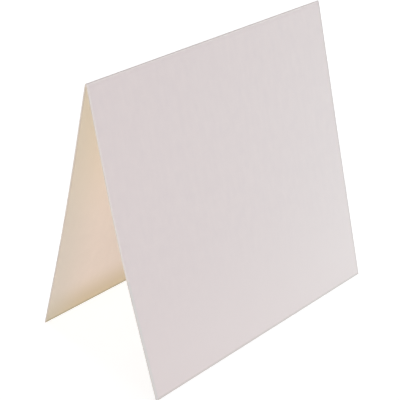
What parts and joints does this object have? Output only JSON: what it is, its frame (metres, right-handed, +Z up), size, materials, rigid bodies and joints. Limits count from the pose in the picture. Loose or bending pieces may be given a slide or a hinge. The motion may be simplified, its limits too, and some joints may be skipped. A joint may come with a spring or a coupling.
{
  "type": "greeting card",
  "caption": "Blank square greeting card of heavy card stock, scored and folded once, standing open as a tent on its bottom edges.",
  "frame": {"origin": "centre of the footprint on the surface the card stands on, under the fold", "axes": "+Z up, X along the fold, the front panel leans towards -Y and the back panel towards +Y"},
  "size_m": [0.127, 0.0708, 0.1226],
  "materials": {
    "card_stock": "smooth uncoated ivory card stock, matt with a slight sheen, pinkish white outside and cream inside"
  },
  "bodies": {
    "root": {"folded_card": "card_stock"}
  },
  "joints": []
}
